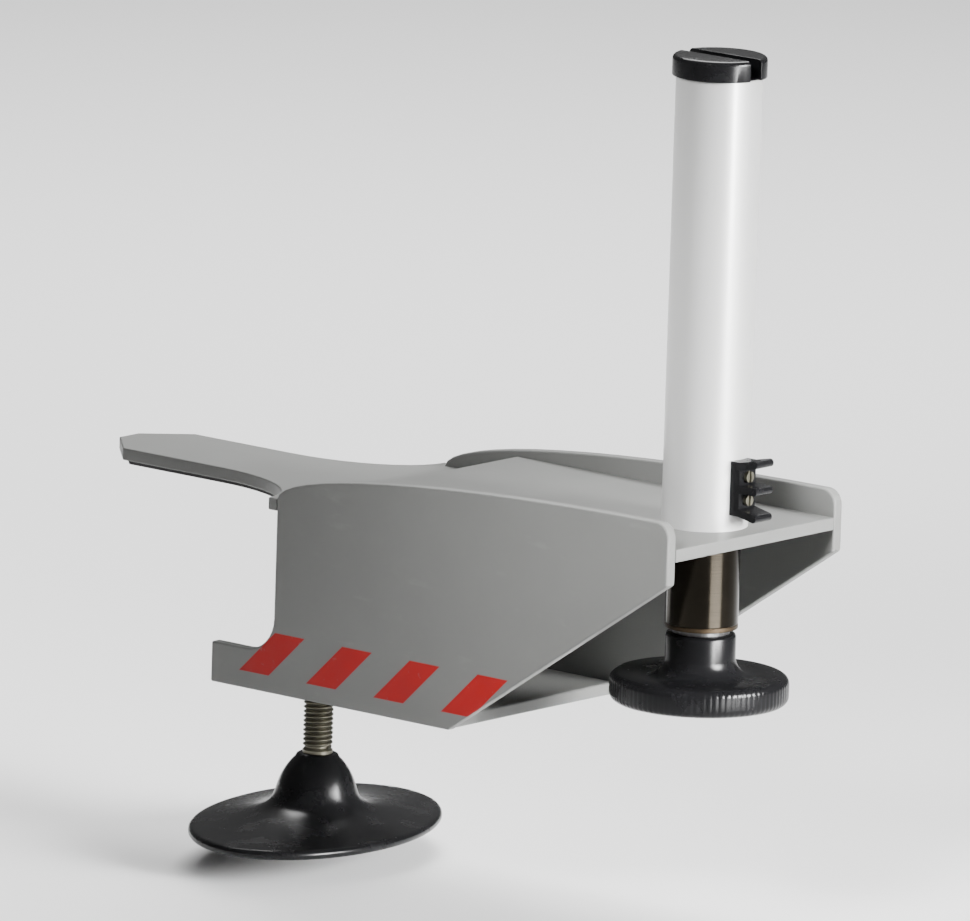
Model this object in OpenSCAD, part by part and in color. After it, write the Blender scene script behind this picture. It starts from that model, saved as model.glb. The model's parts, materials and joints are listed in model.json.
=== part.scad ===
// Clamp and post of a table tennis net, in millimetres, +Z up.
// Origin: where the table top meets the side edge of the board, in the net's plane.
// +X points away from the table and Y runs along the edge of the board.

/* [Bracket] */
// Thickness of the steel plates
sheet_t = 4; // [3:0.5:5]
// Outside width over the two cheeks
bracket_w = 85; // [78:1:90]
// Reach of the cheeks beyond the edge of the table
bracket_reach = 159.5; // [142:0.5:172]
// Gap between the edge of the board and the cheeks
edge_gap = 0.5; // [0.2:0.1:1.5]
// Height of the cheeks over the table top at the edge of the board
lip_low = 5.5; // [4:0.5:8]
// Height of the cheeks over the table top at their outer end
lip_high = 21.5; // [18:0.5:26]
// Depth of the cheeks under the table top
cheek_depth = 57; // [54:1:66]
// Reach of the cheeks' level lower edge
foot_reach = 73; // [60:1:90]
// Height of the lower end of the cheeks' outer edge
heel_z = 2; // [-4:1:6]
// Length of the lower arm under the board
arm_l = 25; // [22:0.5:30]
// Height of the cheeks' lower arm
arm_h = 13; // [8:1:14]
// Radius of the cheeks' throat corner
throat_r = 11; // [3:1:12]
// Radius of the cheeks' upper outer corner
corner_r = 5; // [2:1:8]

/* [Tongue] */
// Length of the tongue on the table
tongue_l = 99; // [80:1:120]
// Width of the tongue
tongue_w = 35; // [30:1:44]
// Corner cut at the tip of the tongue
tip_cut = 13; // [6:1:14]
// Length of the curve that widens the tongue to the bracket
flare_l = 42; // [25:1:60]
// Thickness of the soft facing under the tongue
facing_t = 1.5; // [1:0.5:2.5]
// Margin of the soft facing inside the tongue's outline
facing_margin = 2; // [1:0.5:4]
// How far the facing runs on past the edge of the board
facing_past = 3; // [2:0.5:5]
// Height of the net channel's floor over the table top
floor_top = 13; // [10:0.5:15]
// Where the step up to the channel floor starts
step_from = 8; // [4:1:14]
// Length of the step up to the channel floor
step_l = 24; // [16:1:40]

/* [Post] */
// Distance of the post's axis from the cheeks' outer end
post_end = 20.5; // [19:0.5:26]
// Outside diameter of the post
post_d = 27; // [25:0.5:30]
// Wall of the post
post_wall = 2; // [1:0.25:2.5]
// Height of the post's tube over the table top
post_top = 154; // [145:1:160]
// How far the post can be raised
rise_max = 8; // [4:1:10]

/* [Post cap] */
// Diameter of the cap
cap_d = 29.5; // [28:0.5:32]
// Height of the cap over the tube
cap_h = 6.5; // [6:0.5:8]
// Length of the plug that holds the cap
plug_l = 12; // [8:1:20]
// Radius of the cap's upper edge
cap_edge = 1.4; // [0.6:0.2:2.4]
// Width of the groove for the net cord
groove_w = 5; // [3:0.5:7]
// Depth of the groove for the net cord
groove_h = 6; // [4:0.5:6]

/* [Cord cleat] */
// Height of the cleat's lower end over the table top
cleat_z = 17; // [15:0.5:18]
// Height of the cleat
cleat_h = 19.5; // [19:0.5:22]
// Width of the cleat
cleat_w = 8; // [6:0.5:10]
// Thickness of the cleat's back
cleat_back = 3; // [2:0.5:4]
// Length of the cleat's prongs
prong_l = 7; // [5:0.5:10]
// How far the outer prongs turn up and down towards their tips
prong_rise = 1.2; // [0:0.2:1.2]
// Thickness of the cleat's prongs
prong_t = 2.5; // [2:0.25:3]
// Diameter of the two cleat screws
cleat_screw_d = 3; // [2.5:0.5:3.5]

/* [Guide tube] */
// Play between the post and the guide tube, on the radius
guide_play = 0.05; // [0.03:0.01:0.1]
// Wall of the guide tube
guide_wall = 2.5; // [2:0.25:3]
// Height of the guide tube's top over the table top
guide_top = 58; // [50:1:62]
// Depth of the guide tube's lower end under the table top
guide_low = 18; // [14:1:20]
// Length of the bearing bush
bush_l = 12; // [8:1:14]
// Thickness of the bush's flange
bush_flange = 1.5; // [1:0.5:2]

/* [Height spindle] */
// Diameter of the spindle in its bush
journal_d = 10; // [9:0.5:11]
// Diameter of the spindle's thread
spindle_d = 8; // [6:0.5:8]
// Running play of the spindle and of the threads, on the radius
run_play = 0.05; // [0.03:0.01:0.1]
// Play along the axis between turning and fixed faces
end_play = 0.15; // [0.1:0.05:0.3]
// Height of the lift nut
lift_nut_h = 12; // [10:1:16]
// Space between the guide tube and the lift nut
lift_nut_gap = 8; // [4:1:12]
// How far the spindle stands out over the raised lift nut
spindle_over = 6; // [3:1:12]
// Diameter of the height knob
height_knob_d = 56; // [50:1:62]
// Thickness of the height knob's rim
height_knob_t = 9; // [7:0.5:10]
// Radius of the height knob's edge
height_knob_r = 3; // [2:0.5:3.5]
// Radius that joins the height knob's hub to its rim
height_fillet = 6; // [3:0.5:7]
// Diameter of the height knob's hub
height_hub_d = 22; // [18:0.5:24]
// Height of the height knob's hub over the rim
height_hub_h = 13; // [12:1:18]
// Diameter of the cross pins in the knobs
pin_d = 3; // [2.5:0.5:3]

/* [Clamp screw] */
// Distance of the clamp screw's axis inside the edge of the board
screw_in = 16; // [15:0.5:18]
// Diameter of the clamp screw
screw_d = 9.6; // [8:0.2:10]
// Depth of the clamp knob's upper end under the table top
knob_top = 84.5; // [82:0.5:90]
// Length of the clamp knob along its axis
knob_h = 24; // [22:1:30]
// Length of the clamp knob's oval grip
grip_l = 112; // [90:1:120]
// Width of the clamp knob's oval grip
grip_w = 73; // [60:1:84]
// Thickness of the grip at its edge
grip_t = 3; // [2.6:0.2:5]
// Turn of the oval grip from the net's plane at rest
grip_turn = 107; // [0:1:180]
// Diameter of the clamp knob's hub
hub_d = 27; // [26:1:30]
// How much narrower the hub is at its top
hub_taper = 6.5; // [4:0.5:7]
// How quickly the grip draws in to the hub
grip_flare = 8.5; // [5:0.5:10]

/* [Clamp nut] */
// Diameter of the nut in the bottom plate
nut_d = 14; // [13:0.5:16]
// Diameter of the nut's flange
nut_flange_d = 20; // [18:0.5:22]
// Height of the nut's flange over the bottom plate
nut_flange_h = 4.5; // [3:0.5:6]
// Radius of the ear round the nut
ear_r = 13; // [12:0.5:16]

/* [Swivel foot] */
// Thickness of the table board that the clamp holds at rest
board_t = 25; // [22:0.5:27]
// Diameter of the foot
foot_d = 26; // [20:0.5:28]
// Thickness of the foot's soft pad
pad_t = 2.5; // [1.5:0.5:3]
// Thickness of the foot's plate
foot_plate_t = 2.5; // [2:0.5:3]
// Diameter of the ball
ball_d = 9; // [8:0.5:9.5]
// Diameter of the foot's socket boss
boss_d = 16; // [15:0.5:18]
// Height of the foot's socket boss
boss_h = 6.5; // [6:0.25:7]
// Play between the ball and its socket, on the radius
ball_play = 0.1; // [0.05:0.05:0.2]
// Diameter of the ball stud's shank
shank_d = 5; // [4:0.5:5]
// Length of the ball stud's shank inside the screw
shank_l = 8; // [6:1:12]

/* [Hidden] */
$fn = 64;
EPS = 0.02;

// Bracket
half_w = bracket_w / 2;
inner_half = half_w - sheet_t;
floor_low = floor_top - sheet_t;
plate_low = facing_t;
arm_top = arm_h - cheek_depth;

// Post and its guide
post_x = bracket_reach - post_end;
post_r = post_d / 2;
post_bore_r = post_r - post_wall;
guide_r = post_bore_r - guide_play;
guide_bore_r = guide_r - guide_wall;
post_low = floor_top;
cap_base = post_top;
slot_w = cleat_screw_d + 1;
prong_gap = (cleat_h - 3 * prong_t) / 2;
screw_zs = [
  cleat_z + prong_t + (prong_gap + prong_rise) / 2,
  cleat_z + 2 * prong_t + prong_gap + (prong_gap - prong_rise) / 2
];
slot_from = floor_top + 1;
slot_to = screw_zs[1] + rise_max + cleat_screw_d;
screw_tip_r = guide_bore_r + 0.7;
cleat_face_r = post_r + cleat_back;
screw_head_h = 1.2;

// Height spindle, from the bush down
bush_face = -guide_low - bush_flange;
washer_t = 1.5;
washer_top = bush_face - end_play;
hub_top = washer_top - washer_t;
height_rim_top = hub_top - height_hub_h;
height_knob_low = height_rim_top - height_knob_t;
bush_top = bush_l - guide_low;
clip_t = 1;
clip_low = bush_top + end_play;
clip_groove = 0.8;
lift_low = guide_top + lift_nut_gap;
spindle_top = lift_low + lift_nut_h + rise_max + spindle_over;

// Clamp screw and foot, from the board down
screw_x = -screw_in;
pad_low = -board_t - pad_t;
cup_low = pad_low - foot_plate_t;
boss_low = cup_low - boss_h;
ball_z = boss_low + ball_d / 2 - 1.2;
neck_l = 1.5;
screw_top = boss_low - neck_l;
knob_low = -knob_top - knob_h;
grip_top = knob_low + grip_t;
grip_edge = 1.2;
grip_rings = 16;
hub_shoulder = -knob_top - 1.2;
cover_t = 2;
cover_d = 24;
ring_wire = 1.2;
pin_z = -knob_top - 7;

// Points of an arc of an ellipse
function arc(cx, cy, rx, ry, from, to, n) =
  [for (i = [0:n]) let (a = from + (to - from) * i / n) [cx + rx * cos(a), cy + ry * sin(a)]];

// Side view of a cheek, with the curved lip on top and the throat on the left
function cheek_outline() = concat(
  arc(bracket_reach - corner_r, lip_low, bracket_reach - corner_r - edge_gap,
      lip_high - lip_low, 180, 90, 16),
  arc(bracket_reach - corner_r, lip_high - corner_r, corner_r, corner_r, 80, 0, 6),
  [[bracket_reach, heel_z], [foot_reach, -cheek_depth], [-arm_l, -cheek_depth]],
  [[-arm_l, arm_top]],
  arc(edge_gap - throat_r, arm_top + throat_r, throat_r, throat_r, -90, 0, 8)
);

module upright(y, t) {
  translate([0, y + t, 0]) rotate([90, 0, 0]) linear_extrude(t) children();
}

module on_post() {
  translate([post_x, 0, 0]) children();
}

module on_screw() {
  translate([screw_x, 0, 0]) children();
}

module bar(z0, z1, r) {
  translate([0, 0, z0]) cylinder(h = z1 - z0, r = r);
}

// Bracket plates
module near_cheek() {
  color([0.66, 0.66, 0.63]) upright(-half_w, sheet_t) polygon(cheek_outline());
}

module far_cheek() {
  color([0.66, 0.66, 0.63]) upright(inner_half, sheet_t) polygon(cheek_outline());
}

module bottom_plate() {
  color([0.6, 0.6, 0.57]) difference() {
    union() {
      translate([-arm_l, -inner_half, -cheek_depth])
        cube([arm_l + foot_reach, 2 * inner_half, sheet_t]);
      on_screw() bar(-cheek_depth, sheet_t - cheek_depth, ear_r);
    }
    on_screw() bar(-cheek_depth - 1, sheet_t - cheek_depth + 1, nut_d / 2);
  }
}

// The tongue's outline in plan on the +Y side, drawn in by a margin
function tongue_half(margin, past, end_half) = concat(
  [[-tongue_l + margin, tongue_w / 2 - tip_cut - margin / 2]],
  [[-tongue_l + tip_cut + margin / 2, tongue_w / 2 - margin]],
  arc(-flare_l - 3, half_w, flare_l, half_w - tongue_w / 2 + margin, -90,
      margin > 0 ? -asin((half_w - end_half) / (half_w - tongue_w / 2 + margin)) : 0, 10),
  [[past, end_half]]
);

module tongue_plan(margin, past, end_half) {
  side = tongue_half(margin, past, end_half);
  last = len(side) - 1;
  polygon(concat(side, [for (i = [0:last]) [side[last - i][0], -side[last - i][1]]]));
}

// Side view of the tongue and of the channel floor, one bent plate
module tongue_side() {
  polygon([
    [-tongue_l - 1, plate_low], [step_from, plate_low], [step_from + step_l, floor_low],
    [bracket_reach, floor_low], [bracket_reach, floor_top],
    [step_from + step_l - 1, floor_top], [step_from - 1, plate_low + sheet_t],
    [-tongue_l - 1, plate_low + sheet_t]
  ]);
}

module tongue_plate() {
  color([0.62, 0.63, 0.6]) difference() {
    intersection() {
      upright(-half_w, bracket_w) tongue_side();
      union() {
        linear_extrude(floor_top + 5) tongue_plan(0, edge_gap - EPS, half_w);
        translate([-EPS, -inner_half, 0])
          cube([bracket_reach + EPS, 2 * inner_half, floor_top + 5]);
      }
    }
    on_post() bar(floor_low - 1, floor_top + 1, guide_r);
  }
}

module tongue_pad() {
  color([0.12, 0.12, 0.13]) linear_extrude(facing_t)
    tongue_plan(facing_margin, facing_past, inner_half - 4);
}

module clamp_nut() {
  color([0.7, 0.7, 0.68]) on_screw() difference() {
    union() {
      bar(-cheek_depth, sheet_t - cheek_depth, nut_d / 2);
      bar(sheet_t - cheek_depth, sheet_t + nut_flange_h - cheek_depth, nut_flange_d / 2);
    }
    bar(-cheek_depth - 1, sheet_t + nut_flange_h - cheek_depth + 1, screw_d / 2 + run_play);
  }
}

// Guide
module guide_tube() {
  color([0.55, 0.52, 0.48]) on_post() difference() {
    bar(-guide_low, guide_top, guide_r);
    bar(-guide_low - 1, guide_top + 1, guide_bore_r);
    translate([0, -slot_w / 2, slot_from]) cube([post_r, slot_w, slot_to - slot_from]);
  }
}

module guide_bush() {
  color([0.72, 0.6, 0.35]) on_post() difference() {
    union() {
      bar(-guide_low, bush_top, guide_bore_r);
      bar(bush_face, -guide_low, guide_r);
    }
    bar(bush_face - 1, bush_top + 1, journal_d / 2 + run_play);
  }
}

// Post
module post_tube() {
  color([0.85, 0.85, 0.84]) on_post() difference() {
    bar(post_low, post_top, post_r);
    bar(post_low - 1, post_top + 1, post_bore_r);
    for (z = screw_zs)
      translate([0, 0, z]) rotate([0, 90, 0]) cylinder(h = post_r + 1, d = cleat_screw_d);
  }
}

module post_cap() {
  color([0.06, 0.06, 0.065]) on_post() difference() {
    union() {
      bar(cap_base - plug_l, cap_base, post_bore_r);
      rotate_extrude() polygon(concat(
        [[0, cap_base], [cap_d / 2, cap_base]],
        arc(cap_d / 2 - cap_edge, cap_base + cap_h - cap_edge, cap_edge, cap_edge, 0, 90, 5),
        [[0, cap_base + cap_h]]
      ));
    }
    translate([-cap_d, -groove_w / 2, cap_base + cap_h - groove_h])
      cube([2 * cap_d, groove_w, groove_h + 1]);
    for (side = [0, 180])
      rotate([0, 0, side]) translate([post_r - 0.5, -groove_w / 2, cap_base - 1])
        cube([cap_d, groove_w, cap_h + 2]);
  }
}

module lift_nut() {
  color([0.7, 0.7, 0.68]) on_post() difference() {
    bar(lift_low, lift_low + lift_nut_h, post_bore_r);
    bar(lift_low - 1, lift_low + lift_nut_h + 1, spindle_d / 2 + run_play);
  }
}

// Side view of the cleat: a back with a level prong between two that spread outwards
module cleat_side() {
  tip = cleat_face_r + prong_l;
  edge = prong_t / 2;
  top = cleat_z + cleat_h;
  polygon(concat(
    [[post_r - 2, cleat_z + prong_rise], [cleat_face_r, cleat_z + prong_rise]],
    arc(tip - edge, cleat_z + edge, edge, edge, -90, 90, 6),
    [[cleat_face_r, cleat_z + prong_t + prong_rise]],
    [[cleat_face_r, cleat_z + prong_t + prong_gap]],
    arc(tip - edge, cleat_z + prong_t + prong_gap + edge, edge, edge, -90, 90, 6),
    [[cleat_face_r, cleat_z + 2 * prong_t + prong_gap]],
    [[cleat_face_r, top - prong_t - prong_rise]],
    arc(tip - edge, top - edge, edge, edge, -90, 90, 6),
    [[cleat_face_r, top - prong_rise], [post_r - 2, top - prong_rise]]
  ));
}

module cord_cleat() {
  color([0.06, 0.06, 0.065]) on_post() difference() {
    upright(-cleat_w / 2, cleat_w) cleat_side();
    bar(cleat_z - 1, cleat_z + cleat_h + 1, post_r);
    for (z = screw_zs)
      translate([0, 0, z]) rotate([0, 90, 0]) cylinder(h = cleat_face_r + 1, d = cleat_screw_d);
  }
}

module cleat_screws() {
  color([0.6, 0.6, 0.58]) on_post() for (z = screw_zs)
    translate([0, 0, z]) rotate([0, 90, 0]) {
      bar(screw_tip_r, cleat_face_r, cleat_screw_d / 2);
      difference() {
        bar(cleat_face_r, cleat_face_r + screw_head_h, cleat_screw_d / 2 + 0.3);
        translate([-cleat_screw_d, -0.4, cleat_face_r + screw_head_h / 2])
          cube([2 * cleat_screw_d, 0.8, screw_head_h]);
      }
    }
}

// Height adjuster
module height_spindle() {
  color([0.5, 0.5, 0.48]) on_post() difference() {
    union() {
      bar(height_knob_low + 2, clip_low + clip_t + 1.5, journal_d / 2);
      bar(clip_low, spindle_top, spindle_d / 2);
    }
    difference() {
      bar(clip_low, clip_low + clip_t, journal_d);
      bar(clip_low - 1, clip_low + clip_t + 1, journal_d / 2 - clip_groove);
    }
    translate([0, 0, hub_top - height_hub_h / 2]) rotate([90, 0, 0])
      cylinder(h = height_hub_d + 2, d = pin_d, center = true);
  }
}

module height_knob() {
  rim_r = height_knob_d / 2;
  edge = height_knob_r;
  color([0.07, 0.065, 0.07]) on_post() difference() {
    rotate_extrude() polygon(concat(
      [[0, height_knob_low], [rim_r - edge, height_knob_low]],
      arc(rim_r - edge, height_knob_low + edge, edge, edge, -72, 0, 4),
      arc(rim_r - edge, height_rim_top - edge, edge, edge, 0, 90, 5),
      arc(height_hub_d / 2 + height_fillet, height_rim_top + height_fillet, height_fillet,
          height_fillet, -90, -180, 6),
      [[height_hub_d / 2, hub_top - 1], [height_hub_d / 2 - 1, hub_top], [0, hub_top]]
    ));
    bar(height_knob_low + 2, hub_top + 1, journal_d / 2);
    translate([0, 0, hub_top - height_hub_h / 2]) rotate([90, 0, 0])
      cylinder(h = height_hub_d + 2, d = pin_d, center = true);
  }
}

module thrust_washer() {
  color([0.75, 0.75, 0.73]) on_post() difference() {
    bar(hub_top, washer_top, height_hub_d / 2 - 2);
    bar(hub_top - 1, washer_top + 1, journal_d / 2);
  }
}

module spindle_clip() {
  color([0.3, 0.3, 0.3]) on_post() difference() {
    bar(clip_low, clip_low + clip_t, journal_d / 2 + 1.5);
    bar(clip_low - 1, clip_low + clip_t + 1, journal_d / 2 - clip_groove);
    translate([0, -1.5, clip_low - 1]) cube([journal_d, 3, clip_t + 2]);
  }
}

module height_knob_pin() {
  color([0.6, 0.6, 0.58]) on_post() translate([0, 0, hub_top - height_hub_h / 2])
    rotate([90, 0, 0]) cylinder(h = height_hub_d - 1, d = pin_d, center = true);
}

// Clamp screw
module clamp_screw() {
  color([0.5, 0.5, 0.45]) on_screw() difference() {
    bar(knob_low + cover_t, screw_top, screw_d / 2);
    bar(screw_top - shank_l - 0.5, screw_top + 1, shank_d / 2 + run_play);
    translate([0, 0, pin_z]) rotate([90, 0, grip_turn])
      cylinder(h = hub_d + 2, d = pin_d, center = true);
  }
}

// A closed skin through level ellipses, each given as height, half length and half width
module lofted(rings, sides) {
  count = len(rings);
  points = [for (r = rings, i = [0:sides - 1])
    [r[1] * cos(360 * i / sides), r[2] * sin(360 * i / sides), r[0]]];
  walls = [for (k = [0:count - 2], i = [0:sides - 1]) let (j = (i + 1) % sides)
    each [[k * sides + i, (k + 1) * sides + i, (k + 1) * sides + j],
          [k * sides + i, (k + 1) * sides + j, k * sides + j]]];
  low = [[for (i = [0:sides - 1]) i]];
  high = [[for (i = [0:sides - 1]) (count - 1) * sides + sides - 1 - i]];
  polyhedron(concat(points), concat(walls, low, high));
}

// Height, half length and half width of the knob at a share of its height over the grip's
// edge: an oval at the grip that draws in to a round, tapered hub
function knob_ring(share) =
  let (spread = pow(1 - share, grip_flare), hub = hub_d / 2 - hub_taper * pow(share, 3))
  [grip_top + share * (hub_shoulder - grip_top),
   hub + (grip_l / 2 - grip_edge - hub) * spread, hub + (grip_w / 2 - grip_edge - hub) * spread];

module clamp_knob() {
  color([0.05, 0.05, 0.055]) on_screw() rotate([0, 0, grip_turn]) difference() {
    lofted(concat(
      [[knob_low, grip_l / 2 - grip_edge, grip_w / 2 - grip_edge]],
      [[knob_low + grip_edge / 3, grip_l / 2 - grip_edge / 3, grip_w / 2 - grip_edge / 3]],
      [[knob_low + grip_edge, grip_l / 2, grip_w / 2]],
      [[grip_top - grip_edge, grip_l / 2, grip_w / 2]],
      [[grip_top - grip_edge / 3, grip_l / 2 - grip_edge / 3, grip_w / 2 - grip_edge / 3]],
      [for (i = [0:grip_rings]) knob_ring(pow(i / grip_rings, 1.7))],
      [[-knob_top, hub_d / 2 - hub_taper - grip_edge, hub_d / 2 - hub_taper - grip_edge]]
    ), 56);
    bar(knob_low - 1, -knob_top + 1, screw_d / 2);
    bar(knob_low - 1, knob_low + cover_t, cover_d / 2);
    translate([0, 0, pin_z]) rotate([90, 0, 0])
      cylinder(h = hub_d + 2, d = pin_d, center = true);
  }
}

module knob_pin() {
  color([0.6, 0.6, 0.58]) on_screw() translate([0, 0, pin_z]) rotate([90, 0, grip_turn])
    cylinder(h = hub_d - 8, d = pin_d, center = true);
}

module knob_cover() {
  color([0.09, 0.09, 0.1]) on_screw() bar(knob_low, knob_low + cover_t, cover_d / 2);
}

// Swivel foot
module ball_stud() {
  color([0.7, 0.7, 0.68]) on_screw() {
    translate([0, 0, ball_z]) sphere(d = ball_d);
    bar(screw_top - shank_l, ball_z, shank_d / 2);
  }
}

module foot_cup() {
  socket_r = ball_d / 2 + ball_play;
  mouth_r = shank_d / 2 + 1.1;
  color([0.66, 0.66, 0.64]) on_screw() difference() {
    union() {
      bar(cup_low, pad_low, foot_d / 2);
      bar(boss_low, cup_low, boss_d / 2);
    }
    translate([0, 0, ball_z]) sphere(r = socket_r);
    bar(boss_low - 1, ball_z, mouth_r);
    difference() {
      bar(boss_low + 1, boss_low + 1 + ring_wire, boss_d / 2 + 1);
      bar(boss_low, boss_low + 2 + ring_wire, boss_d / 2 - ring_wire / 2);
    }
  }
}

module foot_pad() {
  color([0.1, 0.1, 0.1]) on_screw() bar(pad_low, -board_t, foot_d / 2);
}

module foot_ring() {
  color([0.4, 0.4, 0.4]) on_screw() difference() {
    bar(boss_low + 1, boss_low + 1 + ring_wire, boss_d / 2 + ring_wire / 2);
    bar(boss_low, boss_low + 2 + ring_wire, boss_d / 2 - ring_wire / 2);
    translate([0, -1.5, boss_low]) cube([boss_d, 3, ring_wire + 2]);
  }
}

near_cheek();
far_cheek();
bottom_plate();
tongue_plate();
tongue_pad();
clamp_nut();
guide_tube();
guide_bush();
post_tube();
post_cap();
lift_nut();
cord_cleat();
cleat_screws();
height_spindle();
height_knob();
thrust_washer();
spindle_clip();
height_knob_pin();
clamp_screw();
clamp_knob();
knob_pin();
knob_cover();
ball_stud();
foot_cup();
foot_pad();
foot_ring();
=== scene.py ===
import json
import math

import bmesh
import bpy
from bpy.props import FloatProperty, FloatVectorProperty, IntProperty, PointerProperty
from mathutils import Matrix, Vector


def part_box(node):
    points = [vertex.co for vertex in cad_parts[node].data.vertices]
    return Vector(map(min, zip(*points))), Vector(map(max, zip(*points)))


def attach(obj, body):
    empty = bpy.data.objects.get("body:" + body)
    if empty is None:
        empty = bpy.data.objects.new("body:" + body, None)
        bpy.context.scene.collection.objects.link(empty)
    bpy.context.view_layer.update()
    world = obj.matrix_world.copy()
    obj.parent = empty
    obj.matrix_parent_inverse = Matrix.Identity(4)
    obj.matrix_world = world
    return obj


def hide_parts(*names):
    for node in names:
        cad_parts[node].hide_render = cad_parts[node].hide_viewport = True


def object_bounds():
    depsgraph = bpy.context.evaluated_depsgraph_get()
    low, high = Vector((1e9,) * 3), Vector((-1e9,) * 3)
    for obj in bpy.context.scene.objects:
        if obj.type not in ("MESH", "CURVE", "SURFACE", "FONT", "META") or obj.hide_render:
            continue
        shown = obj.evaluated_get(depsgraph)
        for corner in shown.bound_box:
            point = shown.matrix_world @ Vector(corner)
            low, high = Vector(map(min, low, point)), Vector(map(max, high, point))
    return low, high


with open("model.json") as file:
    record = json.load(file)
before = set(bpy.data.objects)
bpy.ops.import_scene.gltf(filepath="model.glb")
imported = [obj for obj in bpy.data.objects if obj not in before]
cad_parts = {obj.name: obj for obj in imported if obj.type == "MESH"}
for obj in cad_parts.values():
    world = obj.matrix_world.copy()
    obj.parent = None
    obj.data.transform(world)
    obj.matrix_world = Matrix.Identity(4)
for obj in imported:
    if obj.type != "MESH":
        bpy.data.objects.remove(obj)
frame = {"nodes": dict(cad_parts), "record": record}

bl_info = {
    "name": "Table tennis net clamp",
    "version": (1, 0, 0),
    "blender": (4, 5, 0),
    "location": "3D View > Sidebar > Net clamp",
    "description": "Finishes, threads and knobs of a table tennis net clamp, and its studio",
    "category": "Object",
}

MM = 0.001
SOLID_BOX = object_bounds()
BODIES = frame["record"]["behaviour"]["bodies"]
BODY_OF = {node: body for body, nodes in BODIES.items() for node in nodes}
FULL_TURN = 2 * math.pi
WELD = 1e-6  # metres within which points are one
FINE_WELD = 1e-7
FLAT = math.radians(0.4)  # faces that meet at less are made one
SHARP = math.radians(42)  # edges that turn by more are rounded


# ---------------------------------------------------------------- finishes


class Maths:
    """A number that varies over a surface, with Python's operators as Math nodes."""

    def __init__(self, finish, socket):
        self.finish = finish
        self.socket = socket

    def _do(self, operation, *values):
        sockets = dict(enumerate(values))
        node = self.finish.node("ShaderNodeMath", {"operation": operation}, sockets)
        return Maths(self.finish, node.outputs[0])

    def __add__(self, other):
        return self._do("ADD", self, other)

    def __radd__(self, other):
        return self._do("ADD", other, self)

    def __sub__(self, other):
        return self._do("SUBTRACT", self, other)

    def __rsub__(self, other):
        return self._do("SUBTRACT", other, self)

    def __mul__(self, other):
        return self._do("MULTIPLY", self, other)

    def __rmul__(self, other):
        return self._do("MULTIPLY", other, self)

    def __truediv__(self, other):
        return self._do("DIVIDE", self, other)

    def __rtruediv__(self, other):
        return self._do("DIVIDE", other, self)

    def __abs__(self):
        return self._do("ABSOLUTE", self)

    def __gt__(self, other):
        return self._do("GREATER_THAN", self, other)

    def __lt__(self, other):
        return self._do("LESS_THAN", self, other)

    def fraction(self):
        """The part after the decimal point."""
        return self._do("FRACT", self)

    def clamped(self):
        """The number held between 0 and 1."""
        return self._do("MINIMUM", self._do("MAXIMUM", self, 0.0), 1.0)

    def least(self, other):
        """The smaller of two numbers."""
        return self._do("MINIMUM", self, other)


class Finish:
    """One material, built node by node on the piece's own coordinates."""

    def __init__(self, name):
        self.material = bpy.data.materials.new(name)
        self.material.use_nodes = True
        self.tree = self.material.node_tree
        self.tree.nodes.clear()
        self.shader = self.node("ShaderNodeBsdfPrincipled")
        output = self.node("ShaderNodeOutputMaterial")
        self.tree.links.new(self.shader.outputs[0], output.inputs["Surface"])
        self.place = self.node("ShaderNodeTexCoord").outputs["Object"]
        axes = self.node("ShaderNodeSeparateXYZ", {}, {0: self.place})
        self.x, self.y, self.z = (Maths(self, socket) for socket in axes.outputs)

    def node(self, kind, settings=None, values=None):
        """A node with its settings made first, then the values or links of its sockets."""
        made = self.tree.nodes.new(kind)
        for name, value in (settings or {}).items():
            setattr(made, name, value)
        for key, value in (values or {}).items():
            self.feed(made.inputs[key], value)
        return made

    def feed(self, socket, value):
        """Links a socket to what varies, or sets it to what doesn't."""
        if isinstance(value, Maths):
            value = value.socket
        if isinstance(value, bpy.types.NodeSocket):
            self.tree.links.new(value, socket)
        else:
            socket.default_value = value

    def noise(self, size, stretch=(1, 1, 1), detail=3.0, seed=0.0):
        """Cloudy noise from 0 to 1, its features a size in millimetres and drawn out by axis."""
        scale = [1 / share for share in stretch]
        mapping = self.node(
            "ShaderNodeMapping",
            {"vector_type": "POINT"},
            {"Vector": self.place, "Location": (seed, seed, seed), "Scale": scale},
        )
        noise = self.node(
            "ShaderNodeTexNoise",
            {"noise_dimensions": "3D"},
            {"Vector": mapping.outputs[0], "Scale": 1 / (size * MM), "Detail": detail},
        )
        return Maths(self, noise.outputs[0])

    def patches(self, size, level, contrast, **noise):
        """1 in the patches where noise passes a level, fading at their edges with a contrast."""
        return ((self.noise(size, **noise) - level) * contrast).clamped()

    def mixed(self, share, first, second):
        """A colour between two others."""
        values = {0: share, 6: first, 7: second}  # the node's sockets for colours
        return self.node("ShaderNodeMix", {"data_type": "RGBA"}, values).outputs[2]

    def raised(self, height, depth):
        """A normal from a height of 0 to 1, with its depth in millimetres."""
        values = {"Height": height, "Distance": depth * MM, "Strength": 1.0}
        return self.node("ShaderNodeBump", {}, values).outputs[0]

    def done(self, **sockets):
        """Sets the shader's sockets, named with underscores, and gives the material."""
        for name, value in sockets.items():
            self.feed(self.shader.inputs[name.replace("_", " ")], value)
        return self.material


def opaque(colour, share=1.0):
    """A property's colour, times a share, with an alpha of 1."""
    return (*(channel * share for channel in colour), 1.0)


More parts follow.
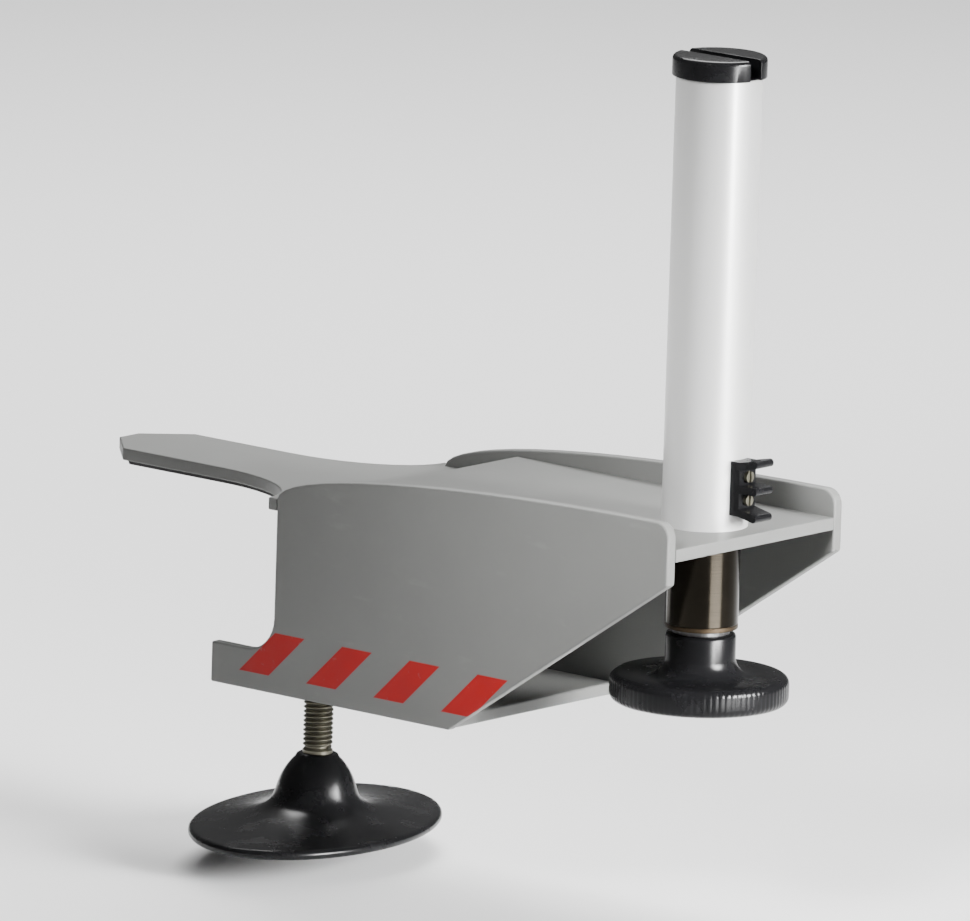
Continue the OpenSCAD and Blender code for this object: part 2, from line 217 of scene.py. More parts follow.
def grey_paint(looks, outer_face=None):
    """Powder coat, with the slanted stripes on a cheek's outer face where that is given."""
    finish = Finish("grey_powder_coat" if outer_face is None else "striped_powder_coat")
    clouds = finish.noise(22, detail=4)
    peel = finish.noise(1.1, detail=2)
    colour = finish.mixed(clouds, opaque(looks.paint, 0.93), opaque(looks.paint, 1.06))
    rubbed = finish.patches(5, 0.66, 9, stretch=(3, 1, 1), seed=4) * 0.3
    colour = finish.mixed(rubbed, colour, opaque(looks.paint, 1.35))
    if outer_face is not None:
        stripes = stripe_mask(finish, looks, outer_face)
        ink = finish.mixed(clouds, opaque(looks.stripe, 0.85), opaque(looks.stripe, 1.1))
        colour = finish.mixed(stripes, colour, ink)
    return finish.done(
        Base_Color=colour,
        Roughness=0.4 + clouds * 0.12 + rubbed * 0.2,
        Normal=finish.raised(peel, 0.02),
        Specular_IOR_Level=0.25,
    )


def stripe_mask(finish, looks, outer_face):
    """1 inside the slanted stripes along a cheek's lower edge, less where worn, 0 elsewhere."""
    low, high = looks.stripe_low * MM, looks.stripe_high * MM
    pitch, width = looks.stripe_pitch * MM, looks.stripe_width * MM
    soft = 1 / (looks.stripe_blur * MM)
    along = finish.x - looks.stripe_start * MM - (finish.z - low) * looks.stripe_slant
    past = (along / pitch).fraction() * pitch
    inside = (past * soft).clamped().least(((width - past) * soft).clamped())
    level = ((finish.z - low) * soft).clamped().least(((high - finish.z) * soft).clamped())
    span = (along > 0.0) * (along < looks.stripe_count * pitch)
    worn = (0.75 + (0.72 - finish.noise(2.5, detail=5, seed=2)) * 3).clamped()
    return inside * level * span * worn * (abs(finish.y) > outer_face)


def painted_post(looks):
    """Silver lacquer on a drawn tube, with faint marks along its length."""
    finish = Finish("silver_post_lacquer")
    drawn = finish.noise(0.5, stretch=(1, 1, 90), detail=2)
    clouds = finish.noise(30, detail=3, seed=1)
    scuffs = finish.patches(3, 0.68, 10, stretch=(1, 1, 6), detail=5, seed=7) * 0.35
    colour = finish.mixed(clouds, opaque(looks.lacquer, 0.96), opaque(looks.lacquer, 1.02))
    colour = finish.mixed(scuffs, colour, opaque(looks.lacquer, 0.7))
    return finish.done(
        Base_Color=colour,
        Roughness=0.3 + drawn * 0.08 + scuffs * 0.3,
        Metallic=0.35,
        Normal=finish.raised(drawn, 0.006),
        Coat_Weight=0.25,
        Coat_Roughness=0.12,
    )


def black_plastic(looks):
    """Moulded black plastic with a fine grain and rubbed, greyer patches."""
    finish = Finish("moulded_black_plastic")
    grain = finish.noise(0.45, detail=2)
    rubbed = finish.patches(9, 0.5, 4, detail=5, seed=3)
    colour = finish.mixed(rubbed * 0.4, opaque(looks.plastic), opaque(looks.plastic, 1.8))
    return finish.done(
        Base_Color=colour,
        Roughness=0.22 + rubbed * 0.08 + grain * 0.05,
        Normal=finish.raised(grain, 0.01),
        Specular_IOR_Level=0.2,
    )


def plated_steel(looks):
    """Zinc plate with a yellow passivation that varies, and fine turning marks."""
    finish = Finish("yellow_zinc_plate")
    clouds = finish.noise(6, detail=4, seed=5)
    turned = finish.noise(0.35, stretch=(40, 40, 1), detail=1)
    # looks.plate is partly painted shade, darkened for the shadow on the clamp screw
    colour = finish.mixed(clouds, opaque(looks.plate, 0.75), opaque(looks.plate, 1.15))
    return finish.done(
        Base_Color=colour,
        Roughness=0.32 + clouds * 0.16,
        Metallic=0.9,
        Normal=finish.raised(turned, 0.008),
    )


def dark_chrome(looks):
    """Smoky chrome with smudges and a few fine scratches round the tube."""
    finish = Finish("smoky_chrome")
    smudges = finish.noise(7, detail=4, seed=6)
    rings = finish.noise(0.3, stretch=(60, 60, 1), detail=2)
    colour = finish.mixed(smudges, opaque(looks.chrome, 0.85), opaque(looks.chrome, 1.1))
    return finish.done(
        Base_Color=colour,
        Roughness=0.12 + smudges * 0.1,
        Metallic=1.0,
        Normal=finish.raised(rings, 0.02),
    )


def sintered_bronze(looks):
    """Porous bronze, a little oily, darkened as painted shade for the gap under the sleeve."""
    finish = Finish("sintered_bronze")
    pores = finish.noise(0.3, detail=3)
    oil = finish.noise(5, detail=2, seed=8)
    colour = finish.mixed(oil, opaque(looks.bronze, 0.7), opaque(looks.bronze, 1.1))
    return finish.done(
        Base_Color=colour,
        Roughness=0.35 + pores * 0.2,
        Metallic=0.85,
        Normal=finish.raised(pores, 0.03),
    )


def soft_rubber(looks):
    """Dull rubber, dusty where it's been handled."""
    finish = Finish("dull_rubber")
    grain = finish.noise(0.6, detail=4)
    dust = finish.patches(8, 0.45, 2.5, detail=4, seed=9)
    colour = finish.mixed(dust * 0.4, opaque(looks.rubber), opaque(looks.rubber, 3.0))
    return finish.done(
        Base_Color=colour,
        Roughness=0.75 + dust * 0.15,
        Normal=finish.raised(grain, 0.05),
    )


def spring_steel(looks):
    """Blackened spring steel with bright rubbed patches."""
    finish = Finish("blackened_spring_steel")
    rubbed = finish.patches(1.5, 0.5, 3, detail=3, seed=10)
    colour = finish.mixed(rubbed, opaque(looks.spring, 0.8), opaque(looks.spring, 1.8))
    return finish.done(Base_Color=colour, Roughness=0.4 - rubbed * 0.12, Metallic=0.9)


# ---------------------------------------------------------------- making pieces


def add_piece(name, bm, material, node, smooth_angle=40):
    """Makes a mesh into a piece that stands for a CAD node and moves with its body."""
    mesh = bpy.data.meshes.new(name)
    bm.to_mesh(mesh)
    bm.free()
    piece = bpy.data.objects.new(name, mesh)
    bpy.context.scene.collection.objects.link(piece)
    mesh.materials.append(material)
    mesh.shade_smooth()
    mesh.set_sharp_from_angle(angle=math.radians(smooth_angle))
    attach(piece, BODY_OF[node])
    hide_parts(node)
    return piece


def softened(node, radius, material, segments=3, smooth_angle=40):
    """A copy of a CAD node whose sharp edges are rounded to a radius in millimetres."""
    bm = bmesh.new()
    bm.from_mesh(frame["nodes"][node].data)
    bmesh.ops.remove_doubles(bm, verts=bm.verts, dist=WELD)
    bmesh.ops.dissolve_limit(
        bm, angle_limit=FLAT, verts=bm.verts, edges=bm.edges, delimit={"NORMAL"}
    )
    piece = add_piece(node + "_finished", bm, material, node, smooth_angle)
    bevel = piece.modifiers.new("soft_edges", "BEVEL")
    bevel.width = radius * MM
    bevel.segments = segments
    bevel.limit_method = "ANGLE"
    bevel.angle_limit = SHARP
    bevel.harden_normals = True
    bevel.use_clamp_overlap = True
    return piece


def painted(node, material, smooth_angle=35):
    """Gives a CAD node that shows as it is its finish."""
    mesh = frame["nodes"][node].data
    mesh.materials.clear()
    mesh.materials.append(material)
    mesh.shade_smooth()
    mesh.set_sharp_from_angle(angle=math.radians(smooth_angle))


def merge_in(bm, part):
    """Adds a second bmesh to the first, and frees it."""
    mesh = bpy.data.meshes.new("part")
    part.to_mesh(mesh)
    part.free()
    bm.from_mesh(mesh)
    bpy.data.meshes.remove(mesh)


def loft(bm, rings, centre, turn=0.0, sides=96):
    """A closed skin through level ellipses, each a height, a half length and a half width."""
    height, half_length, half_width = rings[0]
    verts = bmesh.ops.create_circle(bm, cap_ends=False, radius=1.0, segments=sides)["verts"]
    lift = Matrix.Translation((0, 0, height))
    stretch = Matrix.Diagonal((half_length, half_width, 1, 1))
    bmesh.ops.transform(bm, verts=verts, matrix=lift @ stretch)
    edges = list({edge for vert in verts for edge in vert.link_edges})
    bmesh.ops.contextual_create(bm, geom=edges)
    for below, ring in zip(rings, rings[1:]):
        made = bmesh.ops.extrude_edge_only(bm, edges=edges)
        verts = [item for item in made["geom"] if isinstance(item, bmesh.types.BMVert)]
        edges = [item for item in made["geom"] if isinstance(item, bmesh.types.BMEdge)]
        lift = Matrix.Translation((0, 0, ring[0] - below[0]))
        stretch = Matrix.Diagonal((ring[1] / below[1], ring[2] / below[2], 1, 1))
        bmesh.ops.transform(bm, verts=verts, matrix=lift @ stretch)
    bmesh.ops.contextual_create(bm, geom=edges)
    place = Matrix.Translation((centre.x, centre.y, 0)) @ Matrix.Rotation(turn, 4, "Z")
    bmesh.ops.transform(bm, verts=bm.verts, matrix=place)
    bmesh.ops.recalc_face_normals(bm, faces=bm.faces)


def turned(bm, outline, centre, steps=96):
    """Spins a (radius, height) outline in metres into a full turn about an upright axis."""
    verts = [bm.verts.new((centre.x + radius, centre.y, height)) for radius, height in outline]
    edges = [bm.edges.new(pair) for pair in zip(verts, verts[1:])]
    bmesh.ops.spin(
        bm,
        geom=verts + edges,
        cent=(centre.x, centre.y, 0),
        axis=(0, 0, 1),
        angle=FULL_TURN,
        steps=steps,
        use_merge=True,
    )
    bmesh.ops.remove_doubles(bm, verts=bm.verts, dist=FINE_WELD)
    bmesh.ops.recalc_face_normals(bm, faces=bm.faces)


def rounded_corner(radius_at, height_at, radius, start, end, count=6):
    """Points of an arc in a (radius, height) outline, with its angles in degrees."""
    angles = [math.radians(start + (end - start) * i / count) for i in range(count + 1)]
    return [(radius_at + radius * math.cos(a), height_at + radius * math.sin(a)) for a in angles]


def add_thread(bm, centre, low, high, crest, depth, pitch, steps=28):
    """Winds a screw thread round an upright axis, run out into its core at both ends."""
    root = crest - depth
    sunk = 0.02 * MM
    shape = [(root, 0.0), (crest, 0.42), (crest, 0.58), (root, 1.0)]  # radius, share of a pitch
    turns = int((high - low) / pitch)
    points = [(centre.x + radius, centre.y, low + share * pitch) for radius, share in shape]
    verts = [bm.verts.new(point) for point in points]
    edges = [bm.edges.new(pair) for pair in zip(verts, verts[1:])]
    bmesh.ops.spin(
        bm,
        geom=verts + edges,
        cent=(centre.x, centre.y, 0),
        axis=(0, 0, 1),
        dvec=(0, 0, pitch / steps),
        angle=FULL_TURN * turns,
        steps=steps * turns,
    )
    bmesh.ops.remove_doubles(bm, verts=bm.verts, dist=WELD)
    top = low + (turns + 1) * pitch
    axis = Vector((centre.x, centre.y))
    for vert in bm.verts:
        fade = min(1.0, (vert.co.z - low) / pitch, (top - vert.co.z) / pitch)
        out = vert.co.xy - axis
        length = root - sunk + (out.length - root) * max(0.0, fade)
        vert.co.xy = axis + out.normalized() * length
    bmesh.ops.recalc_face_normals(bm, faces=bm.faces)


def screw_rod(bm, centre, low, high, crest, depth, pitch, thread_low, thread_high):
    """A threaded rod: a plain shank, the thread and a chamfered end."""
    root = crest - depth
    chamfer = 0.6 * MM
    add_thread(bm, centre, thread_low, thread_high, crest, depth, pitch)
    core = bmesh.new()
    outline = [(0, low), (crest, low), (crest, thread_low), (root, thread_low + depth)]
    outline += [(root, high - chamfer), (root - chamfer, high), (0, high)]
    turned(core, outline, centre, steps=48)
    merge_in(bm, core)


# ---------------------------------------------------------------- sizes and colours


class BracketLooks(bpy.types.PropertyGroup):
    """The painted bracket."""

    paint: FloatVectorProperty(
        name="Paint",
        description="Powder coat on the plates",
        subtype="COLOR",
        default=(0.14, 0.1418, 0.1365),
    )
    stripe: FloatVectorProperty(
        name="Stripes",
        description="Slanted stripes on the cheeks",
        subtype="COLOR",
        default=(0.3, 0.0005, 0.001),
    )
    rubber: FloatVectorProperty(
        name="Pads", description="Soft pads", subtype="COLOR", default=(0.02, 0.02, 0.02)
    )
    edge: FloatProperty(
        name="Edge radius",
        description="Rounding of the plates' edges, in millimetres",
        default=0.7,
        min=0.1,
        max=1.5,
    )
    stripe_low: FloatProperty(
        name="Stripes' low edge",
        description="Height over the table top, in millimetres",
        default=-51.6,
    )
    stripe_high: FloatProperty(
        name="Stripes' high edge",
        description="Height over the table top, in millimetres",
        default=-37.2,
    )
    stripe_start: FloatProperty(
        name="First stripe",
        description="Its lower corner's distance from the board's edge, in millimetres",
        default=-13.4,
    )
    stripe_pitch: FloatProperty(
        name="Stripe pitch", description="From stripe to stripe, in millimetres", default=27.8
    )
    stripe_width: FloatProperty(
        name="Stripe width", description="Measured along the cheek, in millimetres", default=12.6
    )
    stripe_slant: FloatProperty(
        name="Stripe slant", description="Run over rise", default=1.03
    )
    stripe_blur: FloatProperty(
        name="Stripe edge", description="Width of the paint's edge, in millimetres", default=0.35
    )
    stripe_count: IntProperty(name="Stripes", description="How many on a cheek", default=4)


class PostLooks(bpy.types.PropertyGroup):
    """The post and its guide."""

    lacquer: FloatVectorProperty(
        name="Lacquer", description="The post's tube", subtype="COLOR", default=(0.5, 0.5, 0.495)
    )
    plastic: FloatVectorProperty(
        name="Plastic",
        description="Cap, cleat and knobs",
        subtype="COLOR",
        default=(0.005, 0.005, 0.0055),
    )
    chrome: FloatVectorProperty(
        name="Chrome", description="The guide tube", subtype="COLOR", default=(0.03, 0.026, 0.02)
    )
    # painted shade: the bush's colour is set far darker than bronze to stand for the shade in the
    # gap under the sleeve
    bronze: FloatVectorProperty(
        name="Bronze", description="The bearing bush", subtype="COLOR", default=(0.05, 0.035, 0.02)
    )


class ScrewLooks(bpy.types.PropertyGroup):
    """The two screws and their knobs."""

    # Partly painted shade: besides the zinc's yellow tint, the colour is darkened to stand for the
    # bottom plate's shadow on the clamp screw, which darkens every plated part.
    plate: FloatVectorProperty(
        name="Plate",
        description="Zinc plated steel",
        subtype="COLOR",
        default=(0.13, 0.124, 0.095),
    )
    spring: FloatVectorProperty(
        name="Spring steel",
        description="Clips and rings",
        subtype="COLOR",
        default=(0.12, 0.12, 0.12),
    )
    clamp_pitch: FloatProperty(
        name="Clamp pitch", description="Travel for a turn, in millimetres", default=1.5
    )
    clamp_depth: FloatProperty(
        name="Clamp thread", description="Depth in millimetres", default=0.85
    )
    lift_pitch: FloatProperty(
        name="Lift pitch", description="Rise for a turn, in millimetres", default=1.25
    )
    lift_depth: FloatProperty(name="Lift thread", description="Depth in millimetres", default=0.7)
    grip_turn: FloatProperty(
        name="Grip turn", description="From the X axis to its length, in degrees", default=107.0
    )
    grip_edge: FloatProperty(
        name="Grip edge", description="Thickness in millimetres", default=3.0
    )
    hub: FloatProperty(
        name="Hub",
        description="Diameter of the clamp knob's hub at its foot, in millimetres",
        default=27.0,
    )
    hub_taper: FloatProperty(
        name="Hub taper", description="How much its radius closes, in millimetres", default=6.5
    )
    grip_flare: FloatProperty(
        name="Flare", description="How quickly the grip draws in", default=8.5
    )
    knob_rim: FloatProperty(
        name="Height knob rim", description="Thickness in millimetres", default=9.0
    )
    knob_hub: FloatProperty(
        name="Height knob hub", description="Diameter in millimetres", default=22.0
    )
    flutes: IntProperty(name="Flutes", description="Round the height knob", default=90)
    flute_depth: FloatProperty(
        name="Flute depth", description="Depth in millimetres", default=0.1
    )


class StageLooks(bpy.types.PropertyGroup):
    """Floor, lights and camera."""

    floor: FloatVectorProperty(
        name="Floor", description="Pale floor", subtype="COLOR", default=(0.8, 0.8, 0.8)
    )
    clearance: FloatProperty(
        name="Clearance",
        description="Room under the knob for the jaw to open, in millimetres",
        default=10.0,
    )
    azimuth: FloatProperty(name="Azimuth", description="Degrees from -Y towards +X", default=39.8)
    elevation: FloatProperty(name="Elevation", description="Degrees", default=11.15)
    roll: FloatProperty(name="Roll", description="Degrees", default=1.78)
    distance: FloatProperty(
        name="Distance", description="Metres", subtype="DISTANCE", default=5.15
    )
    lens: FloatProperty(name="Lens", description="Millimetres", default=612.0)
    key: FloatProperty(name="Key light", description="Watts", default=3.6)
    front: FloatProperty(name="Front light", description="Watts", default=0.34)
    strip: FloatProperty(
        name="Strip light", description="Watts, seen in reflections only", default=8.0
    )
    streak: FloatProperty(
        name="Streak light", description="Watts, seen in reflections only", default=0.7
    )
    overhead: FloatProperty(name="Overhead light", description="Watts", default=1.0)
    backdrop: FloatProperty(name="Backdrop light", description="Watts", default=46.0)
    sky: FloatProperty(
        name="Sky", description="Strength of the room's light", default=0.15
    )


# ---------------------------------------------------------------- pieces


class NETCLAMP_OT_bracket(bpy.types.Operator):
    """Cheeks, bottom plate, tongue, pad and nut"""

    bl_idname = "netclamp.bracket"
    bl_label = "Bracket"

    def execute(self, context):
        looks = context.scene.netclamp_bracket
        screws = context.scene.netclamp_screws
        paint_depth = 0.4 * MM
        striped = grey_paint(looks, -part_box("near_cheek")[0].y - paint_depth)
        for node in ("near_cheek", "far_cheek"):
            softened(node, looks.edge, striped)
        plain = grey_paint(looks)
        for node in ("bottom_plate", "tongue_plate"):
            softened(node, looks.edge, plain)
        softened("tongue_pad", 0.3, soft_rubber(looks))
        softened("clamp_nut", 0.5, plated_steel(screws))
        return {"FINISHED"}


class NETCLAMP_OT_guide(bpy.types.Operator):
    """Guide tube under the post and its bearing bush"""

    bl_idname = "netclamp.guide"
    bl_label = "Guide"

    def execute(self, context):
        looks = context.scene.netclamp_post
        softened("guide_tube", 0.4, dark_chrome(looks))
        # the bush's darkened bronze is painted shade for the gap under the sleeve
        softened("guide_bush", 0.3, sintered_bronze(looks))
        return {"FINISHED"}


class NETCLAMP_OT_post(bpy.types.Operator):
    """Tube, cap, lift nut, cleat and its screws"""

    bl_idname = "netclamp.post"
    bl_label = "Post"

    def execute(self, context):
        looks = context.scene.netclamp_post
        plastic = black_plastic(looks)
        plate = plated_steel(context.scene.netclamp_screws)
        softened("post_tube", 0.35, painted_post(looks))
        softened("post_cap", 0.35, plastic)
        softened("cord_cleat", 0.5, plastic)
        softened("cleat_screws", 0.2, plate, segments=2)
        softened("lift_nut", 0.4, plate)
        return {"FINISHED"}


class NETCLAMP_OT_height_adjuster(bpy.types.Operator):
    """Threaded spindle, fluted knob, washer, clip and pin"""

    bl_idname = "netclamp.height_adjuster"
    bl_label = "Height adjuster"

    def execute(self, context):
        looks = context.scene.netclamp_screws
        plate = plated_steel(looks)
        low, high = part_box("height_spindle")
        centre = (low + high) / 2
        radius = high.x - centre.x
        clip_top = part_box("spindle_clip")[1].z
        crest = (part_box("height_spindle")[1].x - centre.x) * 0.8
        pitch = looks.lift_pitch * MM
        rod = bmesh.new()
        screw_rod(
            rod,
            centre,
            low=clip_top,
            high=high.z,
            crest=crest,
            depth=looks.lift_depth * MM,
            pitch=pitch,
            thread_low=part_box("guide_tube")[1].z,
            thread_high=high.z - 2 * pitch,
        )
        journal = bmesh.new()
        shoulder = clip_top + 1.5 * MM
        outline = [(0, low.z), (radius, low.z), (radius, shoulder), (0, shoulder)]
        turned(journal, outline, centre, steps=64)
        merge_in(rod, journal)
        add_piece("height_spindle_threaded", rod, plate, "height_spindle")
        self.knob(looks, black_plastic(context.scene.netclamp_post), centre)
        spring = spring_steel(looks)
        # painted shade: the washer takes the blackened steel to stand for the dark gap under the
        # sleeve
        softened("thrust_washer", 0.2, spring, segments=2)
        painted("spindle_clip", spring)
        painted("height_knob_pin", plate)
        return {"FINISHED"}

    def knob(self, looks, plastic, centre):
        """The fluted height knob."""
        low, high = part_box("height_knob")
        radius = (high.x - low.x) / 2
        hub = looks.knob_hub * MM / 2
        rim_top = low.z + looks.knob_rim * MM
        edge, fillet, dish, chamfer = 2.6 * MM, 6 * MM, 1.2 * MM, 1 * MM
        well, ledge = radius * 0.5, radius * 0.72
        outline = [(0, low.z + dish), (well, low.z + dish)]
        outline += [(ledge, low.z + dish * 0.3), (radius - edge * 1.6, low.z)]
        outline += rounded_corner(radius - edge, low.z + edge, edge, -80, 0)
        outline += rounded_corner(radius - edge, rim_top - edge, edge, 0, 80)
        outline += [(ledge, rim_top - 0.2 * MM)]
        outline += rounded_corner(hub + fillet, rim_top - 0.4 * MM + fillet, fillet, 270, 185)
        outline += [(hub, high.z - chamfer), (hub - chamfer * 0.3, high.z - chamfer * 0.3)]
        outline += [(hub - chamfer, high.z), (0, high.z)]
        bm = bmesh.new()
        turned(bm, outline, centre, steps=looks.flutes * 8)
        axis = Vector((centre.x, centre.y))
        inside = radius - edge * 1.3
        for vert in bm.verts:
            out = vert.co.xy - axis
            if out.length > inside and vert.co.z < rim_top + fillet:
                wave = 0.5 - 0.5 * math.cos(looks.flutes * math.atan2(out.y, out.x))
                share = min(1.0, (out.length - inside) / edge)
                cut = looks.flute_depth * MM * wave**2 * share
                vert.co.xy = axis + out * (1 - cut / out.length)
        add_piece("height_knob_fluted", bm, plastic, "height_knob", smooth_angle=50)


class NETCLAMP_OT_clamp_screw(bpy.types.Operator):
    """Threaded clamp screw with its oval knob, pin and cover"""

    bl_idname = "netclamp.clamp_screw"
    bl_label = "Clamp screw"

    def execute(self, context):
        looks = context.scene.netclamp_screws
        plate = plated_steel(looks)
        plastic = black_plastic(context.scene.netclamp_post)
        low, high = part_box("clamp_screw")
        centre = (low + high) / 2
        pitch = looks.clamp_pitch * MM
        rod = bmesh.new()
        screw_rod(
            rod,
            centre,
            low=low.z,
            high=high.z,
            crest=high.x - centre.x,
            depth=looks.clamp_depth * MM,
            pitch=pitch,
            thread_low=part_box("clamp_knob")[1].z + 1 * MM,
            thread_high=high.z - 2.2 * pitch,
        )
        add_piece("clamp_screw_threaded", rod, plate, "clamp_screw")
        self.knob(looks, plastic, centre)
        softened("knob_cover", 0.3, plastic)
        painted("knob_pin", plate)
        return {"FINISHED"}

    def knob(self, looks, plastic, centre):
        """The oval knob that draws in to a round hub."""
        low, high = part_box("clamp_knob")
        turn = math.radians(looks.grip_turn)
        half_l, half_w = oval_halves(high.x - low.x, high.y - low.y, turn)
        hub, taper = looks.hub * MM / 2, looks.hub_taper * MM
        cover_low, cover_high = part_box("knob_cover")
        hole = (cover_high.x - cover_low.x) / 2
        rings = [(cover_high.z, hole, hole), (low.z, hole, hole)]
        # heights and insets of the rounded rim in millimetres, before it's scaled to the grip
        rim = [(0.0, 1.5), (0.3, 0.6), (1.0, 0.1), (1.7, 0.0), (2.4, 0.1), (3.1, 0.6), (3.4, 1.3)]
        scale = looks.grip_edge / rim[-1][0]
        rings += [(low.z + z * scale * MM, half_l - d * MM, half_w - d * MM) for z, d in rim]
        edge_top = low.z + looks.grip_edge * MM
        crown = 1.2 * MM
        shoulder = high.z - crown
        inset = rim[-1][1] * MM
        count = 28
        for i in range(1, count + 1):
            share = (i / count) ** 1.7
            spread = (1 - share) ** looks.grip_flare
            radius = hub - taper * share**3
            rings.append(
                (
                    edge_top + share * (shoulder - edge_top),
                    radius + (half_l - inset - radius) * spread,
                    radius + (half_w - inset - radius) * spread,
                )
            )
        neck = rings[-1][1]
        for drop, closed in ((0.4 * MM, 0.4 * MM), (0, crown)):
            rings.append((high.z - drop, neck - closed, neck - closed))
        bm = bmesh.new()
        loft(bm, rings, centre, turn)
        add_piece("clamp_knob_oval", bm, plastic, "clamp_knob", smooth_angle=50)


def oval_halves(width_x, width_y, turn):
    """Half length and half width of a turned ellipse from its box."""
    across, along = math.cos(turn) ** 2, math.sin(turn) ** 2
    x, y = (width_x / 2) ** 2, (width_y / 2) ** 2
    total, difference = x + y, (y - x) / (along - across)
    return math.sqrt((total + difference) / 2), math.sqrt((total - difference) / 2)


class NETCLAMP_OT_foot(bpy.types.Operator):
    """Swivel foot: ball stud, cup, pad and ring"""

    bl_idname = "netclamp.foot"
    bl_label = "Foot"

    def execute(self, context):
        screws = context.scene.netclamp_screws
        plate = plated_steel(screws)
        painted("ball_stud", plate)
        softened("foot_cup", 0.3, plate)
        softened("foot_pad", 0.5, soft_rubber(context.scene.netclamp_bracket))
        painted("foot_ring", spring_steel(screws))
        return {"FINISHED"}


def direction(around, above):
    """The direction at an angle from -Y towards +X, and another over the level, in degrees."""
    around, above = math.radians(around), math.radians(above)
    level = math.cos(above)
    return Vector((math.sin(around) * level, -math.cos(around) * level, math.sin(above)))


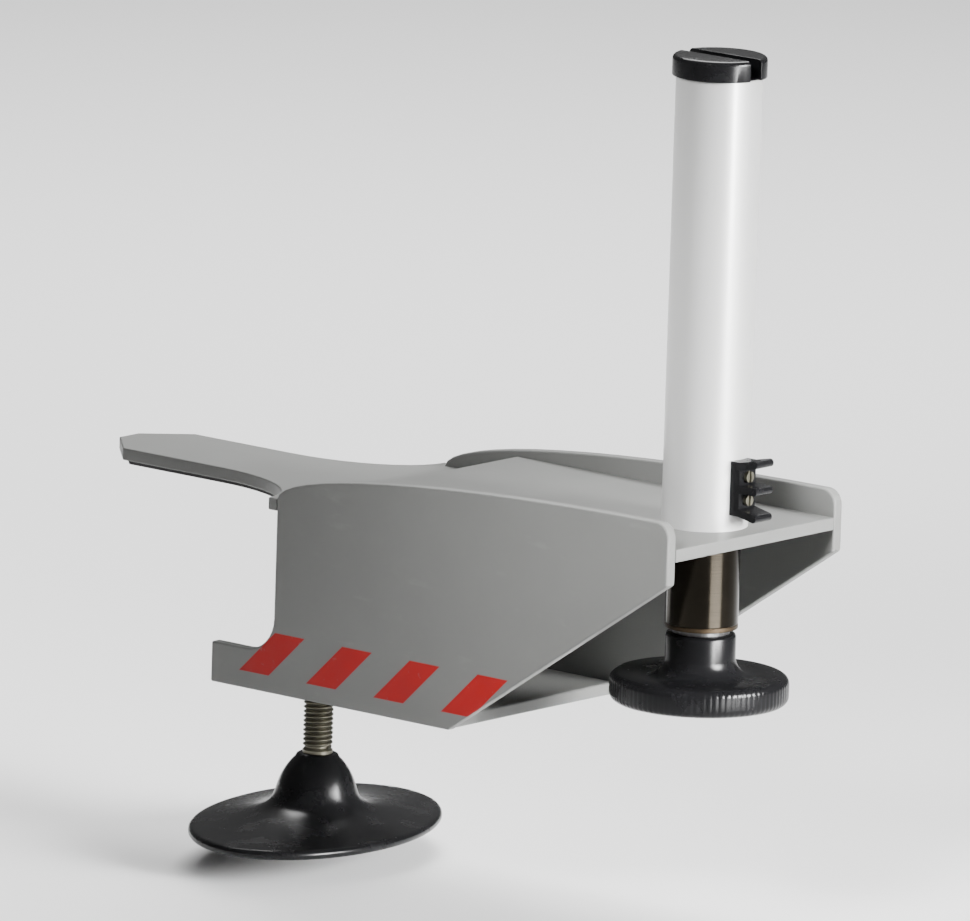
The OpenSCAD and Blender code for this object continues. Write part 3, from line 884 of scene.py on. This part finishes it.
class NETCLAMP_OT_stage(bpy.types.Operator):
    """Floor, lights and camera"""

    bl_idname = "netclamp.stage"
    bl_label = "Stage"

    def execute(self, context):
        looks = context.scene.netclamp_stage
        self.floor(looks, SOLID_BOX[0].z - looks.clearance * MM)
        self.lights(context, looks)
        self.camera(context, looks)
        return {"FINISHED"}

    def floor(self, looks, height):
        """A wide pale floor."""
        bm = bmesh.new()
        bmesh.ops.create_grid(bm, x_segments=1, y_segments=1, size=6)
        bmesh.ops.translate(bm, verts=bm.verts, vec=(0, 0, height))
        mesh = bpy.data.meshes.new("floor")
        bm.to_mesh(mesh)
        bm.free()
        floor = bpy.data.objects.new("floor", mesh)
        bpy.context.scene.collection.objects.link(floor)
        finish = Finish("pale_floor")
        mesh.materials.append(
            finish.done(Base_Color=opaque(looks.floor), Roughness=0.7, Specular_IOR_Level=0.0)
        )

    def lights(self, context, looks):
        """Soft lights beside, in front, overhead and behind, and two strips for reflections."""
        middle = Vector((0.1, 0, 0.02))
        outer_end = Vector((0.165, 0, 0.035))
        sleeve = Vector((0.139, 0, -0.03))
        behind = 0.9  # metres from the middle to the wall
        wall = middle + direction(looks.azimuth + 180, 0) * behind
        key = self.lamp("key", looks.key, middle, (98, 15), distance=0.95, size=0.4)
        key.data.spread = math.radians(36)
        front = self.lamp("front", looks.front, outer_end, (10, 34), distance=0.5, size=0.2)
        front.data.spread = math.radians(28)
        front.visible_glossy = False
        self.lamp("overhead", looks.overhead, middle, (-30, 65), distance=1.6, size=1.2)
        self.lamp("backdrop", looks.backdrop, wall, (0, 90), distance=1.1, size=1.0)
        self.strip("strip", looks.strip, middle, (84, 4), distance=0.8, width=0.1, height=0.2)
        self.strip(
            "streak", looks.streak, sleeve, (82, -10), distance=0.35, width=0.22, height=0.06
        )
        world = bpy.data.worlds.new("room")
        world.use_nodes = True
        room = world.node_tree.nodes["Background"]
        room.inputs["Color"].default_value = (1, 1, 1, 1)
        room.inputs["Strength"].default_value = looks.sky
        context.scene.world = world

    def lamp(self, name, power, target, angles, distance, size):
        """A square soft light that faces its target from angles round and over it."""
        light = bpy.data.lights.new(name, "AREA")
        light.energy = power
        light.size = size
        lamp = bpy.data.objects.new(name, light)
        out = direction(*angles)
        lamp.location = target + out * distance
        lamp.rotation_euler = out.to_track_quat("Z", "Y").to_euler()
        bpy.context.scene.collection.objects.link(lamp)
        return lamp

    def strip(self, name, power, target, angles, distance, width, height):
        """A light that shows in reflections only."""
        lamp = self.lamp(name, power, target, angles, distance, width)
        lamp.data.shape = "RECTANGLE"
        lamp.data.size_y = height
        lamp.visible_diffuse = False
        lamp.visible_camera = False

    def camera(self, context, looks):
        """A long lens from the side of the table."""
        pivot = Vector((0.07, 0, 0.02))
        aim = Vector((0.0495, 0, 0.0195))
        place = pivot + direction(looks.azimuth, looks.elevation) * looks.distance
        turn = (place - aim).to_track_quat("Z", "Y").to_matrix().to_4x4()
        roll = Matrix.Rotation(math.radians(looks.roll), 4, "Z")
        data = bpy.data.cameras.new("camera")
        data.lens = looks.lens
        data.clip_end = 50
        camera = bpy.data.objects.new("camera", data)
        camera.matrix_world = Matrix.Translation(place) @ turn @ roll
        context.scene.collection.objects.link(camera)
        context.scene.camera = camera


class NETCLAMP_PT_panel(bpy.types.Panel):
    """The pieces, and the sizes and colours that they use"""

    bl_idname = "NETCLAMP_PT_panel"
    bl_label = "Net clamp"
    bl_space_type = "VIEW_3D"
    bl_region_type = "UI"
    bl_category = "Net clamp"

    def draw(self, context):
        for operator in OPERATORS:
            self.layout.operator(operator.bl_idname)
        for group in GROUPS:
            settings = getattr(context.scene, group)
            box = self.layout.box()
            for name in settings.bl_rna.properties.keys():
                if name not in ("rna_type", "name"):
                    box.prop(settings, name)


GROUPS = {
    "netclamp_bracket": BracketLooks,
    "netclamp_post": PostLooks,
    "netclamp_screws": ScrewLooks,
    "netclamp_stage": StageLooks,
}
OPERATORS = (
    NETCLAMP_OT_bracket,
    NETCLAMP_OT_guide,
    NETCLAMP_OT_post,
    NETCLAMP_OT_height_adjuster,
    NETCLAMP_OT_clamp_screw,
    NETCLAMP_OT_foot,
    NETCLAMP_OT_stage,
)


def register():
    for group in GROUPS.values():
        bpy.utils.register_class(group)
    for name, group in GROUPS.items():
        setattr(bpy.types.Scene, name, PointerProperty(type=group))
    for operator in OPERATORS:
        bpy.utils.register_class(operator)
    bpy.utils.register_class(NETCLAMP_PT_panel)


def unregister():
    bpy.utils.unregister_class(NETCLAMP_PT_panel)
    for operator in reversed(OPERATORS):
        bpy.utils.unregister_class(operator)
    for name, group in GROUPS.items():
        delattr(bpy.types.Scene, name)
        bpy.utils.unregister_class(group)


def main():
    register()
    bpy.ops.netclamp.bracket()
    bpy.ops.netclamp.guide()
    bpy.ops.netclamp.post()
    bpy.ops.netclamp.height_adjuster()
    bpy.ops.netclamp.clamp_screw()
    bpy.ops.netclamp.foot()
    bpy.ops.netclamp.stage()


if __name__ == "__main__":
    main()
